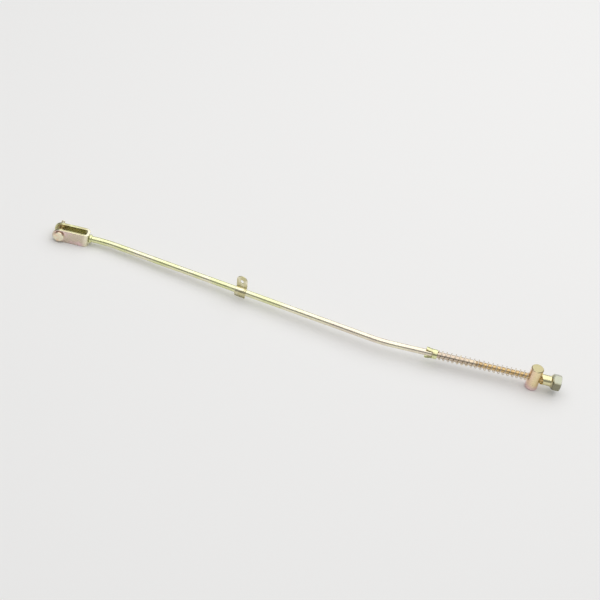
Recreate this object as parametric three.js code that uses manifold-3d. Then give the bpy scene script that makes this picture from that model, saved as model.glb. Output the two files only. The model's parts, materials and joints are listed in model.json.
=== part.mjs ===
// Brake rod for a small motorcycle's rear drum brake, in millimetres, +Z up.
//
// A bent steel rod lies along X. Its left end carries a folded fork with a headed pin, which takes
// the brake pedal's lever. Its right end is threaded and carries a coil spring, a cross-drilled
// barrel for the brake drum's lever and a saddle-nosed adjusting nut. A folded tab half way along
// takes the brake light switch's spring. The part lies as it rests: the fork on its lower edges and
// the barrel on its lower end.

import * as THREE from 'three';
import { mergeVertices } from 'three/addons/utils/BufferGeometryUtils.js';
import Module from 'manifold-3d';

const wasm = await Module();
wasm.setup();

// Clearances
const runningGap = 0.3; // between a shaft and its hole, and between faces that bear on each other
const cutMargin = 1; // how far a cutting tool runs past the face it leaves
const joinOverlap = 1; // how far bodies that become one run into each other

// Rod
const rodDiameter = 6;
const leftEndLength = 44.2; // pin axis to the left bend's corner
const middleLength = 273; // between the bends' corners, along X
const middleOffset = 56; // between the two ends' axes, square to X
const rightEndLength = 53.4; // right bend's corner to the spring seat's spring face
const bendRadius = 110;
const rodTipSetback = 3; // from the nut's outer face back to the rod's tip
const rodTipChamfer = 0.8;
const collarDiameter = 8.4; // upset collar outside the fork
const collarLength = 2;
const neckDiameter = 4.8; // turned down where it passes through the fork
const rivetDiameter = 6.2; // riveted head inside the fork
const rivetLength = 2.2;
const rivetChamfer = 0.6;

// Fork
const forkThickness = 3;
const forkSlotWidth = 7;
const forkHeight = 13;
const forkInnerRadius = 1.5;
const pinToForkBack = 25; // pin axis to the inner face of the fork's back wall

// Fork pin and its split pin
const pinDiameter = 6;
const pinHeadDiameter = 10;
const pinHeadLength = 2;
const pinChamfer = 0.6;
const pinTailLength = 4.6; // beyond the fork's far cheek
const splitPinDiameter = 1.6;
const splitPinInset = 2.2; // from the tail's end to the split pin's axis
const splitPinEyeDiameter = 3.6;
const splitPinEyeWire = 0.9; // half of the doubled wire
const splitPinLegSpread = 3.2; // how far each bent leg reaches along X
const splitPinLegDrop = 0.9; // from the pin's underside to the bent legs' axis

// Switch tab
const tabPosition = 138.5; // left bend's corner to the tab's middle, along the middle stretch
const tabWidth = 10.4;
const tabThickness = 1.2;
const tabHeight = 15.7; // rod axis to the top of the tongue
const tabTopRise = 4.2; // height of the tongue's rounded top
const tabSlant = THREE.MathUtils.degToRad(8); // lean towards the fork
const tabWrapEnd = THREE.MathUtils.degToRad(250); // from the far side, over the rod to the lip
const tabLipLength = 1.6;
const tabHoleDiameter = 3.2; // takes the switch spring's hook
const tabHoleHeight = 10.2; // rod axis to the hole's axis

// Spring seat
const seatDiameter = 9;
const seatLength = 4.6;
const seatEarLength = 6.4;
const seatEarOverlap = 1.2; // how far each ear runs into the collar
const seatEarWidth = 4.4;
const seatEarThickness = 1.3;
const seatEarFlare = 0.9; // how far the ear's tip stands further out than its root

// Spring
const springLength = 86.9; // between its two ends' outermost wire
const springDiameter = 9.2; // outside
const springWire = 1;
const springTurns = 20;
const springEndTurns = 2; // turns at each end over which the pitch closes
const springEndPitch = 0.75; // pitch at the very end, as a share of the middle pitch

// Barrel
const barrelDiameter = 12;
const barrelLength = 24;
const barrelChamfer = 0.7;

// Adjusting nut
const nutSleeveDiameter = 10;
const nutSleeveLength = 9.2; // from the horns' tips to the shoulder
const nutShoulderDiameter = 13;
const nutShoulderLength = 1.8;
const nutHexAcrossFlats = 14;
const nutHexLength = 7.6;
const nutHexChamfer = 0.9;
const nutFaceDiameter = 13.6; // of the round face that the chamfers leave
const nutSaddleDepth = 2;

// Roundness of the facets
const rodSides = 24;
const roundSides = 32;
const smallSides = 16;
const bendSteps = 10;
const foldSteps = 12;
const eyeSides = 10;
const eyeSteps = 20;
const wireSides = 6;
const stepsPerTurn = 12;

// Heights and places that follow from the sizes above
const pinAxisHeight = forkHeight / 2;
const barrelAxisHeight = barrelLength / 2;
const rise = barrelAxisHeight - pinAxisHeight;
const leftBendX = leftEndLength;
const rightBendX = leftBendX + middleLength;
const rightAxisY = -Math.sqrt(middleOffset ** 2 - rise ** 2);
const seatFaceX = rightBendX + rightEndLength;
const springStartX = seatFaceX + runningGap;
const barrelX = springStartX + springLength + runningGap + barrelDiameter / 2;
const nutStartX = barrelX + barrelDiameter / 2 + runningGap;
const nutLength = nutSleeveLength + nutShoulderLength + nutHexLength;
const nutEndX = nutStartX + nutLength;
const rodTipX = nutEndX - rodTipSetback;
const forkOuterWidth = forkSlotWidth + 2 * forkThickness;
const forkBackX = pinToForkBack + forkThickness;
const collarX = forkBackX + runningGap;
const rivetX = pinToForkBack - runningGap;
const pinHeadFaceY = -forkOuterWidth / 2 - runningGap;
const pinEndY = forkOuterWidth / 2 + pinTailLength;
const splitPinY = pinEndY - splitPinInset;
const boreClearance = 2 * runningGap;

// Finishes
const zincYellow = new THREE.MeshStandardMaterial({ color: 0xcfc98f, roughness: 0.34, metalness: 0.95 });
const zincOlive = new THREE.MeshStandardMaterial({ color: 0xb9b07c, roughness: 0.38, metalness: 0.95 });
const zincPink = new THREE.MeshStandardMaterial({ color: 0xc3a88c, roughness: 0.4, metalness: 0.95 });
const zincPale = new THREE.MeshStandardMaterial({ color: 0xd6d3c4, roughness: 0.36, metalness: 0.95 });
const zincGrey = new THREE.MeshStandardMaterial({ color: 0xb4b8a8, roughness: 0.4, metalness: 0.95 });

// Closed mesh to solid
function solidOf(geometry) {
  const bare = geometry.clone();
  bare.deleteAttribute('normal');
  bare.deleteAttribute('uv');
  const merged = mergeVertices(bare, 1e-4);
  return new wasm.Manifold(new wasm.Mesh({
    numProp: 3,
    vertProperties: new Float32Array(merged.attributes.position.array),
    triVerts: new Uint32Array(merged.index.array),
  }));
}

// Solid to a geometry for a mesh
function geometryOf(solid) {
  const mesh = solid.getMesh();
  const geometry = new THREE.BufferGeometry();
  geometry.setAttribute('position', new THREE.BufferAttribute(new Float32Array(mesh.vertProperties), 3));
  geometry.setIndex(new THREE.BufferAttribute(new Uint32Array(mesh.triVerts), 1));
  geometry.computeVertexNormals();
  return geometry;
}

// A round body about the X axis from [x, radius] corners, which start and end on the axis
function turnedAlongX(corners, sides) {
  const outline = corners.map(([x, radius]) => new THREE.Vector2(radius, x));
  return new THREE.LatheGeometry(outline, sides).rotateZ(-Math.PI / 2);
}

// A plain round bar or cutter about the X axis
function barAlongX(startX, endX, diameter, sides) {
  const radius = diameter / 2;
  return turnedAlongX([[startX, 0], [startX, radius], [endX, radius], [endX, 0]], sides);
}

// A flat outline in the XZ plane given a thickness along Y, from startY to endY
function plateAlongY(outline, startY, endY, curveSegments) {
  const depth = endY - startY;
  const plate = new THREE.ExtrudeGeometry(outline, { depth, bevelEnabled: false, curveSegments });
  return plate.rotateX(Math.PI / 2).translate(0, endY, 0);
}

// The rod's centre line in its own plane: straight, bend, straight, bend, straight. The curve runs
// by stations, so that a straight has one step and a bend has bendSteps.
class RodCentreLine extends THREE.Curve {
  constructor(startX, endX) {
    super();
    const slope = Math.atan2(middleOffset, middleLength);
    const trim = bendRadius * Math.tan(slope / 2);
    this.stations = [new THREE.Vector2(startX, 0)];
    this.addBend(new THREE.Vector2(leftBendX - trim, -bendRadius), Math.PI / 2, -slope);
    const rightCentre = new THREE.Vector2(rightBendX + trim, -middleOffset + bendRadius);
    this.addBend(rightCentre, -Math.PI / 2 - slope, slope);
    this.stations.push(new THREE.Vector2(endX, -middleOffset));
  }

  addBend(centre, startAngle, turn) {
    for (let step = 0; step <= bendSteps; step += 1) {
      const angle = startAngle + (turn * step) / bendSteps;
      const arm = new THREE.Vector2(Math.cos(angle), Math.sin(angle)).multiplyScalar(bendRadius);
      this.stations.push(arm.add(centre));
    }
  }

  get steps() {
    return this.stations.length - 1;
  }

  getUtoTmapping(share) {
    return share;
  }

  getPoint(share, target = new THREE.Vector3()) {
    const place = Math.min(Math.max(share, 0), 1) * this.steps;
    const index = Math.min(Math.floor(place + 1e-9), this.steps - 1);
    const point = this.stations[index].clone().lerp(this.stations[index + 1], place - index);
    return target.set(point.x, point.y, 0);
  }

  getTangent(share, target = new THREE.Vector3()) {
    const index = Math.round(share * this.steps);
    const before = this.stations[Math.max(index - 1, 0)];
    const here = this.stations[index];
    const after = this.stations[Math.min(index + 1, this.steps)];
    const arriving = here.clone().sub(before).normalize();
    const leaving = after.clone().sub(here).normalize();
    const mean = arriving.add(leaving).normalize();
    return target.set(mean.x, mean.y, 0);
  }
}

// Bent bar with an upset collar and a riveted head at the fork, and a chamfered tip in the nut
function makeRod() {
  const shankStart = collarX + collarLength / 2;
  const shankEnd = rodTipX - rodTipChamfer;
  const line = new RodCentreLine(shankStart, shankEnd);
  const section = new THREE.Shape();
  section.absarc(0, 0, rodDiameter / 2, 0, 2 * Math.PI);
  const shank = new THREE.ExtrudeGeometry(section, {
    steps: line.steps, extrudePath: line, curveSegments: rodSides, bevelEnabled: false,
  });
  const neckRadius = neckDiameter / 2;
  const rivetRadius = rivetDiameter / 2;
  const rivetFrontX = rivetX - rivetLength;
  const forkEnd = turnedAlongX([
    [rivetFrontX, 0],
    [rivetFrontX, rivetRadius - rivetChamfer],
    [rivetFrontX + rivetChamfer, rivetRadius],
    [rivetX - rivetChamfer, rivetRadius],
    [rivetX, rivetRadius - rivetChamfer],
    [rivetX, neckRadius],
    [collarX, neckRadius],
    [collarX, collarDiameter / 2],
    [collarX + collarLength, collarDiameter / 2],
    [collarX + collarLength, 0],
  ], rodSides);
  const tip = turnedAlongX([
    [shankEnd - joinOverlap, 0],
    [shankEnd - joinOverlap, rodDiameter / 2],
    [shankEnd, rodDiameter / 2],
    [rodTipX, rodDiameter / 2 - rodTipChamfer],
    [rodTipX, 0],
  ], rodSides).translate(0, -middleOffset, 0);
  const rod = solidOf(shank).add(solidOf(forkEnd)).add(solidOf(tip));
  return geometryOf(rod);
}

// Strip folded to a U, with round ends at the pin, a hole for the pin and one for the rod's neck
function makeFork() {
  const halfWidth = forkOuterWidth / 2;
  const halfSlot = forkSlotWidth / 2;
  const outerRadius = forkInnerRadius + forkThickness;
  const tipX = -forkHeight / 2;
  const plan = new THREE.Shape();
  plan.moveTo(tipX, -halfWidth);
  plan.lineTo(forkBackX - outerRadius, -halfWidth);
  plan.absarc(forkBackX - outerRadius, -halfWidth + outerRadius, outerRadius, -Math.PI / 2, 0);
  plan.absarc(forkBackX - outerRadius, halfWidth - outerRadius, outerRadius, 0, Math.PI / 2);
  plan.lineTo(tipX, halfWidth);
  plan.lineTo(tipX, halfSlot);
  plan.lineTo(pinToForkBack - forkInnerRadius, halfSlot);
  plan.absarc(pinToForkBack - forkInnerRadius, halfSlot - forkInnerRadius, forkInnerRadius,
    Math.PI / 2, 0, true);
  plan.absarc(pinToForkBack - forkInnerRadius, -halfSlot + forkInnerRadius, forkInnerRadius,
    0, -Math.PI / 2, true);
  plan.lineTo(tipX, -halfSlot);
  plan.closePath();
  const strip = new THREE.ExtrudeGeometry(plan, {
    depth: forkHeight, bevelEnabled: false, curveSegments: foldSteps,
  }).translate(0, 0, -forkHeight / 2);

  const side = new THREE.Shape();
  const sideEndX = forkBackX + cutMargin;
  side.absarc(0, 0, forkHeight / 2, Math.PI / 2, (3 * Math.PI) / 2);
  side.lineTo(sideEndX, -forkHeight / 2);
  side.lineTo(sideEndX, forkHeight / 2);
  side.closePath();
  const roundedEnds = plateAlongY(side, -halfWidth - cutMargin, halfWidth + cutMargin, rodSides);

  const pinHole = barAlongX(-halfWidth - cutMargin, halfWidth + cutMargin,
    pinDiameter + boreClearance, rodSides).rotateZ(Math.PI / 2);
  const neckHole = barAlongX(pinToForkBack - cutMargin, forkBackX + cutMargin,
    neckDiameter + boreClearance, rodSides);
  const fork = solidOf(strip).intersect(solidOf(roundedEnds)).subtract(solidOf(pinHole))
    .subtract(solidOf(neckHole));
  return geometryOf(fork);
}

// Headed pin along Y, head towards -Y, with a cross hole for the split pin
function makeForkPin() {
  const shankRadius = pinDiameter / 2;
  const headRadius = pinHeadDiameter / 2;
  const headEndY = pinHeadFaceY - pinHeadLength;
  const blank = turnedAlongX([
    [headEndY, 0],
    [headEndY, headRadius - pinChamfer],
    [headEndY + pinChamfer, headRadius],
    [pinHeadFaceY, headRadius],
    [pinHeadFaceY, shankRadius],
    [pinEndY - pinChamfer, shankRadius],
    [pinEndY, shankRadius - pinChamfer],
    [pinEndY, 0],
  ], rodSides).rotateZ(Math.PI / 2);
  const crossHole = barAlongX(-shankRadius - cutMargin, shankRadius + cutMargin,
    splitPinDiameter + boreClearance, smallSides).rotateY(Math.PI / 2).translate(0, splitPinY, 0);
  return geometryOf(solidOf(blank).subtract(solidOf(crossHole)));
}

// Split pin: an eye above the pin, a shank through it, and two legs bent apart beneath it
function makeSplitPin() {
  const wireRadius = splitPinEyeWire / 2;
  const eyeRadius = splitPinEyeDiameter / 2 - wireRadius;
  const eyeCentreZ = pinDiameter / 2 + runningGap + splitPinEyeDiameter / 2;
  const legZ = -pinDiameter / 2 - splitPinLegDrop;
  const shank = barAlongX(legZ, eyeCentreZ - eyeRadius, splitPinDiameter, smallSides)
    .rotateY(-Math.PI / 2);
  const eye = new THREE.TorusGeometry(eyeRadius, wireRadius, eyeSides, eyeSteps).rotateX(Math.PI / 2)
    .translate(0, 0, eyeCentreZ);
  const legs = barAlongX(-splitPinLegSpread, splitPinLegSpread, splitPinDiameter, smallSides)
    .translate(0, 0, legZ);
  const splitPin = solidOf(shank).add(solidOf(eye)).add(solidOf(legs));
  return geometryOf(splitPin).translate(0, splitPinY, 0);
}

// Tab: one strip. It stands up as a tongue behind the rod's crest, folds over the rod towards the
// near side, wraps down and under it, and ends in a lip that stands out.
function makeTab() {
  const innerRadius = rodDiameter / 2 + runningGap;
  const outerRadius = innerRadius + tabThickness;
  const lipReach = outerRadius + tabLipLength;
  const lipStart = tabWrapEnd - tabThickness / outerRadius;
  const footAngle = Math.acos(tabThickness / innerRadius);
  const strip = new THREE.Shape();
  strip.moveTo(0, tabHeight + cutMargin);
  strip.lineTo(0, outerRadius);
  strip.absarc(0, 0, outerRadius, Math.PI / 2, lipStart);
  strip.lineTo(lipReach * Math.cos(lipStart), lipReach * Math.sin(lipStart));
  strip.lineTo(lipReach * Math.cos(tabWrapEnd), lipReach * Math.sin(tabWrapEnd));
  strip.absarc(0, 0, innerRadius, tabWrapEnd, footAngle, true);
  strip.lineTo(tabThickness, tabHeight + cutMargin);
  strip.closePath();
  const half = tabWidth / 2;
  const overlong = 2 * tabWidth;
  // The section's x and y become y and z, and its depth runs along x
  const folded = new THREE.ExtrudeGeometry(strip, {
    depth: overlong, bevelEnabled: false, curveSegments: foldSteps,
  }).rotateX(Math.PI / 2).rotateZ(Math.PI / 2).translate(-overlong / 2, 0, 0);

  const lean = (height) => -Math.tan(tabSlant) * Math.max(height - outerRadius, 0);
  const shoulderZ = tabHeight - tabTopRise;
  const controlZ = shoulderZ + (4 / 3) * tabTopRise; // the curve rises to 3/4 of its controls' height
  const face = new THREE.Shape();
  face.moveTo(-half, -lipReach - cutMargin);
  face.lineTo(half, -lipReach - cutMargin);
  face.lineTo(half, outerRadius);
  face.lineTo(half + lean(shoulderZ), shoulderZ);
  face.bezierCurveTo(
    half + lean(tabHeight), controlZ,
    -half + lean(tabHeight), controlZ,
    -half + lean(shoulderZ), shoulderZ,
  );
  face.lineTo(-half, outerRadius);
  face.closePath();
  const outline = plateAlongY(face, -lipReach - cutMargin, lipReach + cutMargin, foldSteps);
  const hole = barAlongX(-cutMargin, tabThickness + cutMargin, tabHoleDiameter, rodSides)
    .rotateZ(Math.PI / 2).translate(lean(tabHoleHeight), 0, tabHoleHeight);
  return geometryOf(solidOf(folded).intersect(solidOf(outline)).subtract(solidOf(hole)));
}

// Spring seat: a collar crimped on the rod, with two ears along it that open towards the bend
function makeSpringSeat() {
  const collarStartX = seatFaceX - seatLength;
  const boreDiameter = rodDiameter + boreClearance;
  const earRootZ = boreDiameter / 2 + runningGap;
  const earRootX = collarStartX + seatEarOverlap;
  const earTipX = collarStartX - seatEarLength;
  const ear = new THREE.Shape();
  ear.moveTo(earTipX, earRootZ + seatEarFlare);
  ear.lineTo(earRootX, earRootZ);
  ear.lineTo(earRootX, earRootZ + seatEarThickness);
  ear.lineTo(earTipX, earRootZ + seatEarFlare + seatEarThickness);
  ear.closePath();
  const upperEar = solidOf(plateAlongY(ear, -seatEarWidth / 2, seatEarWidth / 2, 1));
  const lowerEar = upperEar.rotate([180, 0, 0]);
  const collar = barAlongX(collarStartX, seatFaceX, seatDiameter, rodSides);
  const bore = barAlongX(collarStartX - cutMargin, seatFaceX + cutMargin, boreDiameter, rodSides);
  const seat = solidOf(collar).add(upperEar).add(lowerEar).subtract(solidOf(bore));
  return geometryOf(seat);
}

// The spring's wire: a helix about the X axis whose pitch closes towards both ends
class SpringLine extends THREE.Curve {
  constructor() {
    super();
    this.steps = springTurns * stepsPerTurn;
    const advance = [0];
    for (let step = 0; step < this.steps; step += 1) {
      const turn = (step + 0.5) / stepsPerTurn;
      const fromEnd = Math.min(turn, springTurns - turn, springEndTurns) / springEndTurns;
      advance.push(advance[step] + springEndPitch + (1 - springEndPitch) * fromEnd);
    }
    const travel = springLength - springWire;
    this.places = advance.map((value) => springWire / 2 + (travel * value) / advance[this.steps]);
  }

  getUtoTmapping(share) {
    return share;
  }

  getPoint(share, target = new THREE.Vector3()) {
    const place = Math.min(Math.max(share, 0), 1) * this.steps;
    const index = Math.min(Math.floor(place), this.steps - 1);
    const x = THREE.MathUtils.lerp(this.places[index], this.places[index + 1], place - index);
    const angle = (place / stepsPerTurn) * 2 * Math.PI;
    const radius = (springDiameter - springWire) / 2;
    return target.set(x, radius * Math.sin(angle), radius * Math.cos(angle));
  }
}

function makeSpring() {
  const line = new SpringLine();
  const section = new THREE.Shape();
  section.absarc(0, 0, springWire / 2, 0, 2 * Math.PI);
  return new THREE.ExtrudeGeometry(section, {
    steps: line.steps, extrudePath: line, curveSegments: wireSides / 2, bevelEnabled: false,
  });
}

// Barrel: a short round bar on end, with a chamfer at both ends and a cross hole for the rod
function makeBarrel() {
  const half = barrelLength / 2;
  const radius = barrelDiameter / 2;
  const blank = turnedAlongX([
    [-half, 0],
    [-half, radius - barrelChamfer],
    [-half + barrelChamfer, radius],
    [half - barrelChamfer, radius],
    [half, radius - barrelChamfer],
    [half, 0],
  ], roundSides).rotateY(-Math.PI / 2);
  const crossHole = barAlongX(-radius - cutMargin, radius + cutMargin,
    rodDiameter + boreClearance, rodSides);
  return geometryOf(solidOf(blank).subtract(solidOf(crossHole)));
}

// Adjusting nut: a hexagon head, a shoulder and a sleeve whose nose has a saddle cut across it.
// The saddle fits the barrel when the nut is turned a quarter from how it lies here.
function makeAdjustingNut() {
  const sleeveRadius = nutSleeveDiameter / 2;
  const shoulderRadius = nutShoulderDiameter / 2;
  const hexStart = nutSleeveLength + nutShoulderLength;
  const cornerRadius = nutHexAcrossFlats / 2 / Math.cos(Math.PI / 6);
  const sleeve = turnedAlongX([
    [0, 0],
    [0, sleeveRadius],
    [nutSleeveLength, sleeveRadius],
    [hexStart, shoulderRadius],
    [hexStart + joinOverlap, shoulderRadius],
    [hexStart + joinOverlap, 0],
  ], roundSides);
  const hex = new THREE.CylinderGeometry(cornerRadius, cornerRadius, nutHexLength, 6)
    .rotateZ(-Math.PI / 2).translate(hexStart + nutHexLength / 2, 0, 0);
  const faceRadius = nutFaceDiameter / 2;
  const turningRadius = cornerRadius / Math.cos(Math.PI / roundSides); // its facets clear the corners
  const hexTurning = turnedAlongX([
    [hexStart, 0],
    [hexStart, faceRadius],
    [hexStart + nutHexChamfer, turningRadius],
    [nutLength - nutHexChamfer, turningRadius],
    [nutLength, faceRadius],
    [nutLength, 0],
  ], roundSides);
  const bore = barAlongX(-cutMargin, nutLength + cutMargin, rodDiameter + boreClearance, rodSides);
  const saddleRadius = barrelDiameter / 2 + runningGap;
  const saddle = barAlongX(-barrelDiameter, barrelDiameter, 2 * saddleRadius, roundSides)
    .rotateZ(Math.PI / 2).translate(nutSaddleDepth - saddleRadius, 0, 0);
  const nut = solidOf(hex).intersect(solidOf(hexTurning)).add(solidOf(sleeve))
    .subtract(solidOf(bore)).subtract(solidOf(saddle));
  return geometryOf(nut);
}

// One named piece of the assembly
function piece(name, geometry, material) {
  const mesh = new THREE.Mesh(geometry, material);
  mesh.name = name;
  return mesh;
}

const rodPlane = new THREE.Group();
rodPlane.rotation.x = -Math.asin(rise / middleOffset);
rodPlane.position.z = pinAxisHeight;
rodPlane.add(piece('rod', makeRod(), zincYellow));
const tabPlace = new THREE.Group();
const middleSlope = Math.atan2(middleOffset, middleLength);
tabPlace.rotation.z = -middleSlope;
tabPlace.position.set(
  leftBendX + tabPosition * Math.cos(middleSlope),
  -tabPosition * Math.sin(middleSlope),
  0,
);
tabPlace.add(piece('switch_tab', makeTab(), zincOlive));
rodPlane.add(tabPlace);

const forkEnd = new THREE.Group();
forkEnd.position.z = pinAxisHeight;
forkEnd.add(
  piece('fork', makeFork(), zincOlive),
  piece('fork_pin', makeForkPin(), zincPink),
  piece('split_pin', makeSplitPin(), zincPale),
);

const wheelEnd = new THREE.Group();
wheelEnd.position.set(0, rightAxisY, barrelAxisHeight);
const spring = piece('spring', makeSpring(), zincPale);
spring.position.x = springStartX;
const barrel = piece('barrel', makeBarrel(), zincPink);
barrel.position.x = barrelX;
const adjustingNut = piece('adjusting_nut', makeAdjustingNut(), zincGrey);
adjustingNut.position.x = nutStartX;
wheelEnd.add(piece('spring_seat', makeSpringSeat(), zincYellow), spring, barrel, adjustingNut);

// The origin is under the middle of the part, on the surface that it lies on
const brakeRod = new THREE.Group();
brakeRod.add(rodPlane, forkEnd, wheelEnd);
const bounds = new THREE.Box3().setFromObject(brakeRod, true);
const middle = bounds.getCenter(new THREE.Vector3());
brakeRod.position.set(-middle.x, -middle.y, -bounds.min.z);

export default brakeRod;
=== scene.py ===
"""The visible pieces of a drum brake rod, built round its CAD frame, in metres, +Z up."""

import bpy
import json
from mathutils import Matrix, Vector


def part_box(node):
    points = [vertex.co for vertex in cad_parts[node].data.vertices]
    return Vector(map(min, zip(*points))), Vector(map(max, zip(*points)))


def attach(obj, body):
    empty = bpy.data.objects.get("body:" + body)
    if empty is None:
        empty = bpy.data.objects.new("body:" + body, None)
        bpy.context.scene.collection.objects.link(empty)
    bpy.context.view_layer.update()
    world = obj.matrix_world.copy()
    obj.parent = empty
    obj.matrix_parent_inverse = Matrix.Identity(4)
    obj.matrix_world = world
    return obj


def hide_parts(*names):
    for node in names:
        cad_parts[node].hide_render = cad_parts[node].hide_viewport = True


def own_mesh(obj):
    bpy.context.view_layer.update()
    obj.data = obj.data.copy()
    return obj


bl_info = {
    "name": "Brake Rod",
    "version": (1, 0, 0),
    "blender": (4, 5, 0),
    "location": "3D View > Sidebar > Brake Rod",
    "description": "Builds a drum brake rod in yellow zinc plated steel round its CAD frame",
    "category": "Add Mesh",
}

import json

import bmesh
import bpy
import numpy as np
from bpy.props import FloatProperty, FloatVectorProperty, IntProperty, PointerProperty
from mathutils import Matrix, Vector

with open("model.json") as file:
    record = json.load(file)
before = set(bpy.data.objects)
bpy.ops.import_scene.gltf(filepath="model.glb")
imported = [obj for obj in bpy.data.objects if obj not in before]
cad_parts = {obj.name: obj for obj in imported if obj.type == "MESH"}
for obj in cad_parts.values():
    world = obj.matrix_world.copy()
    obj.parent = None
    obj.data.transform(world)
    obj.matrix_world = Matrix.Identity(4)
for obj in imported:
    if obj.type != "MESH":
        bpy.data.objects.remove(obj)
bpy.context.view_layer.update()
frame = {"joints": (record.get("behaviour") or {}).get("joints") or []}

SIDEBAR_TAB = "Brake Rod"
WELD = 1e-7  # points closer than this are one vertex
SHARP_ANGLE = np.radians(38)  # faces that meet at more than this keep a crisp edge
X, Y, Z = np.eye(3)

# How finely the surfaces are cut

ARC_POINTS = 5  # along a rounded corner
QUARTER = np.linspace(0, np.pi / 2, ARC_POINTS)  # angles along a rounded edge
ROD_SIDES = 36
STRETCH_POINTS = 25  # along each straight or bend of the rod
THREAD_ROWS = 12  # for each turn of a thread
FORK_COLUMNS = 128  # round each of the fork's holes
BACK_ROWS = 12  # from the neck's hole to the edge of the fork's back
HOLE_ROWS = 5  # from the pin's or the tab's hole to the border round it
SHEET_ROWS = 10  # from a cross hole to the border of its sheet
SHEET_SIDES, SHEET_TOPS = 20, 48  # points along the borders of that sheet
COIL_ROWS = 28  # for each turn of the spring
WIRE_SIDES = 12
NUT_COLUMNS = 120


# Places read from the frame

def box_of(node):
    """Lowest and highest corner of a CAD node as arrays."""
    low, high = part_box(node)
    return np.array(low), np.array(high)


ROD_LOW, ROD_HIGH = box_of("rod")
FORK_LOW, FORK_HIGH = box_of("fork")
PIN_LOW, PIN_HIGH = box_of("fork_pin")
SEAT_LOW, SEAT_HIGH = box_of("spring_seat")
SPRING_LOW, SPRING_HIGH = box_of("spring")
BARREL_LOW, BARREL_HIGH = box_of("barrel")
NUT_LOW, NUT_HIGH = box_of("adjusting_nut")
JOINTS = {joint["name"]: joint for joint in frame["joints"]}

FORK_MIDDLE = (FORK_LOW + FORK_HIGH) / 2
PIN_AXIS = np.array(JOINTS["pin_turn"]["pos_m"])
BARREL_MIDDLE = (BARREL_LOW + BARREL_HIGH) / 2
BARREL_RADIUS = (BARREL_HIGH[0] - BARREL_LOW[0]) / 2
NUT_MIDDLE = (NUT_LOW + NUT_HIGH) / 2
RIGHT_AXIS = np.array([0, BARREL_MIDDLE[1], BARREL_MIDDLE[2]])  # on the axis of the right end
SPRING_LENGTH = SPRING_HIGH[0] - SPRING_LOW[0]


def length(name, description, default):
    """A length in metres that a user can change."""
    return FloatProperty(
        name=name, description=description, default=float(default), min=0.0,
        subtype="DISTANCE", unit="LENGTH", precision=5,
    )


def angle(name, description, degrees):
    """An angle that a user can change."""
    return FloatProperty(
        name=name, description=description, default=float(np.radians(degrees)), subtype="ANGLE",
    )


def colour(name, description, default):
    """A colour that a user can change."""
    return FloatVectorProperty(
        name=name, description=description, default=default, size=3, min=0.0, max=1.0,
        subtype="COLOR",
    )


# Sizes and colours that a user can change

class RodSizes(bpy.types.PropertyGroup):
    radius: length("Radius", "Radius of the bar and of its thread's crest", 0.003)
    bend_start: length("Bend place", "From the pin's axis to the left bend's corner", 0.0442)
    middle: length("Middle stretch", "Between the two bends' corners, along X", 0.273)
    offset: length("Offset", "Between the axes of the two ends", 0.056)
    bend_radius: length("Bend radius", "Radius of both bends", 0.110)
    collar_radius: length("Collar radius", "Radius of the collar outside the fork", 0.0042)
    collar_length: length("Collar length", "Length of the collar outside the fork", 0.002)
    collar_gap: length("Collar gap", "Gap between the fork's back and the collar or head", 0.0003)
    neck_radius: length("Neck radius", "Radius of the neck in the fork", 0.0024)
    rivet_radius: length("Riveted head", "Radius of the riveted head inside the fork", 0.0031)
    tip_chamfer: length("Tip chamfer", "Chamfer of the threaded tip", 0.0008)
    thread_start: length("Plain stretch", "From the spring seat to the thread's start", 0.0360)
    thread_pitch: length("Thread pitch", "Pitch of the thread", 0.001)
    thread_depth: length("Thread depth", "Depth of the thread", 0.0006)


class ForkSizes(bpy.types.PropertyGroup):
    thickness: length("Thickness", "Thickness of the folded strip", 0.003)
    inner_radius: length("Inner bend", "Inner radius of the two folds", 0.0015)
    pin_hole: length("Pin hole", "Radius of the pin's hole", 0.0033)
    neck_hole: length("Neck hole", "Radius of the hole for the rod's neck", 0.0027)
    edge: length("Edge", "Rounding of the strip's cut edges", 0.0006)


class PinSizes(bpy.types.PropertyGroup):
    radius: length("Radius", "Radius of the pin", 0.003)
    head_length: length("Head length", "Length of the pin's head", 0.002)
    edge: length("Edge", "Rounding of the pin's head and of its tail", 0.0006)
    wire_radius: length("Split pin", "Radius of the split pin's doubled wire", 0.0008)
    cross_hole: length("Cross hole", "Radius of the hole for the split pin", 0.0011)
    inset: length("Inset", "From the pin's end to the split pin", 0.0022)
    eye_radius: length("Eye", "Outer radius of the split pin's eye", 0.0018)
    eye_height: length("Eye height", "From the pin's axis to the middle of the eye", 0.0051)
    eye_flare: length("Eye flare", "Radius of the bends that open into the eye", 0.001)
    leg_reach: length("Leg reach", "How far each bent leg reaches from the pin's axis", 0.0032)
    leg_bend: length("Leg bend", "Radius of the legs' bends", 0.001)
    leg_depth: length("Leg depth", "From the pin's axis down to the bent legs", 0.004)


class TabSizes(bpy.types.PropertyGroup):
    place: length("Place", "From the left bend's corner to the tab, along the rod", 0.1385)
    width: length("Width", "Width along the rod", 0.0104)
    thickness: length("Thickness", "Thickness of the strip", 0.0012)
    height: length("Height", "From the rod's axis to the tongue's top", 0.0157)
    top_rise: length("Top rise", "Height of the tongue's rounded top", 0.0042)
    slant: angle("Slant", "Lean of the tongue towards the fork", 8)
    gap: length("Gap", "Gap between the strip and the rod", 0.0003)
    wrap: angle("Wrap", "How far the strip wraps round the rod", 160)
    fold: length("Fold", "Inner radius of the strip's tight folds", 0.00015)
    lip: length("Lip", "Length of the lip under the rod", 0.0016)
    hole_radius: length("Hole radius", "Radius of the hole for the switch spring", 0.0016)
    hole_height: length("Hole height", "From the rod's axis to the hole", 0.0102)
    edge: length("Edge", "Rounding of the strip's edges", 0.0003)


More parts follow.
